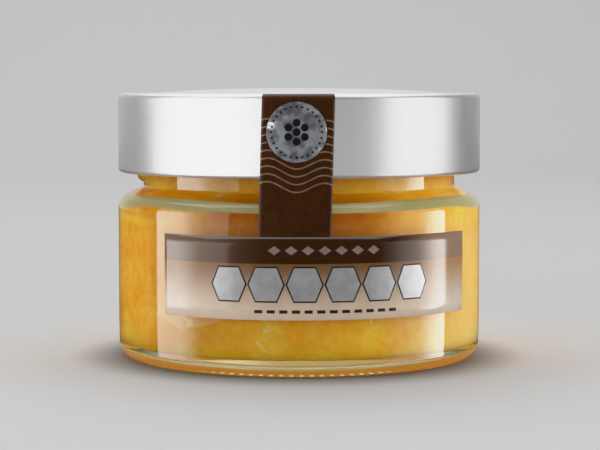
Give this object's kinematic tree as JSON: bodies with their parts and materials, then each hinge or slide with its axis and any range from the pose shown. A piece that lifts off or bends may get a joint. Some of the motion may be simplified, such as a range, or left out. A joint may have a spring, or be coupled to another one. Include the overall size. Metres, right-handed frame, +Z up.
{
  "type": "jar of pike roe caviar",
  "caption": "Squat clear glass jar of golden-amber fish roe with a deep silver screw lid, a wrap label, a dark seal strip over the lid's edge and a round foil sticker.",
  "frame": {"origin": "centre of the flat ring that the jar stands on", "axes": "+Z up along the jar's axis, -Y towards the side that carries the seal strip and the label, +X to the right as seen from that side"},
  "size_m": [0.073, 0.0738, 0.054],
  "materials": {
    "clear_glass": "clear smooth glass with a faint green tint in its thick parts",
    "silver_lid": "satin silver lacquer on sheet steel",
    "amber_roe": "moist translucent golden-amber fish roe",
    "label_film": "printed film, dark brown above, fading to pale beige below",
    "brown_strip": "smooth dark brown printed paper with thin tan wavy lines",
    "silver_foil": "mottled silver foil"
  },
  "bodies": {
    "root": {"glass_jar": "clear_glass", "lid": "silver_lid", "roe": "amber_roe", "label": "label_film", "seal_strip": "brown_strip", "sticker": "silver_foil"}
  },
  "joints": []
}
